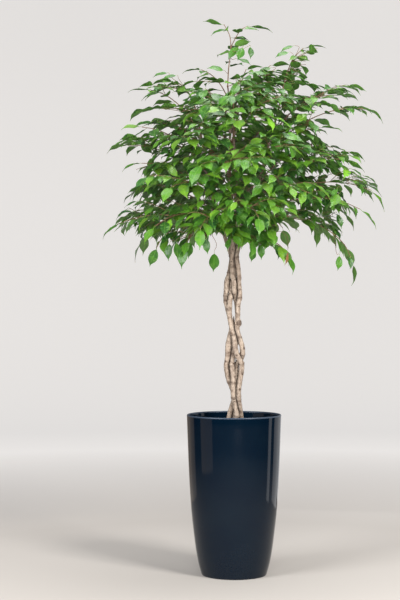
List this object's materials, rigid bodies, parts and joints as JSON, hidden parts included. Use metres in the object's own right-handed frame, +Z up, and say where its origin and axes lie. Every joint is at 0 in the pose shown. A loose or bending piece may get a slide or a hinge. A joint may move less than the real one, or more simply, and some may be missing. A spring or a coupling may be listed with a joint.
{
  "type": "potted weeping fig",
  "caption": "Weeping fig tree with a braided trunk and a wide drooping crown of small pointed leaves, in a tall tapered round planter.",
  "frame": {"origin": "centre of the planter's flat base, on the floor", "axes": "+Z up along the trunk, -Y towards the viewer of the picture, +X to that viewer's right"},
  "size_m": [0.9596, 0.8756, 1.8765],
  "materials": {
    "planter": "gloss",
    "soil": "matte",
    "bark": "matte",
    "leaf": "satin"
  },
  "bodies": {
    "root": {"planter": "planter", "soil": "soil", "spray_back_high": "leaf", "spray_back_low_left": "leaf", "spray_back_low_right": "leaf", "spray_back_mid": "leaf", "spray_back_mid_left": "leaf", "spray_back_mid_right": "leaf", "spray_back_top": "leaf", "spray_back_top_left": "leaf", "spray_back_top_right": "leaf", "spray_bottom_front": "leaf", "spray_bottom_left": "leaf", "spray_bottom_left_back": "leaf", "spray_bottom_right": "leaf", "spray_front_high": "leaf", "spray_front_high_left": "leaf", "spray_front_high_right": "leaf", "spray_front_low": "leaf", "spray_front_low_left": "leaf", "spray_front_mid": "leaf", "spray_front_mid_left": "leaf", "spray_front_mid_right": "leaf", "spray_front_top": "leaf", "spray_front_top_left": "leaf", "spray_front_top_right": "leaf", "spray_leader": "leaf", "spray_left_bottom": "leaf", "spray_left_hang": "leaf", "spray_left_high": "leaf", "spray_left_low": "leaf", "spray_left_mid": "leaf", "spray_left_mid_high": "leaf", "spray_left_mid_low": "leaf", "spray_left_shoulder": "leaf", "spray_left_shoulder_back": "leaf", "spray_left_skirt": "leaf", "spray_left_skirt_front": "leaf", "spray_left_upper": "leaf", "spray_right_high": "leaf", "spray_right_low_back": "leaf", "spray_right_low_front": "leaf", "spray_right_mid": "leaf", "spray_right_mid_back": "leaf", "spray_right_mid_high": "leaf", "spray_right_mid_low": "leaf", "spray_right_shoulder": "leaf", "spray_right_skirt": "leaf", "spray_right_spur": "leaf", "spray_right_trail": "leaf", "spray_second_leader": "leaf", "spray_small_spur": "leaf", "stem_back": "bark", "stem_front": "bark", "stem_left": "bark", "stem_right": "bark"}
  },
  "joints": []
}
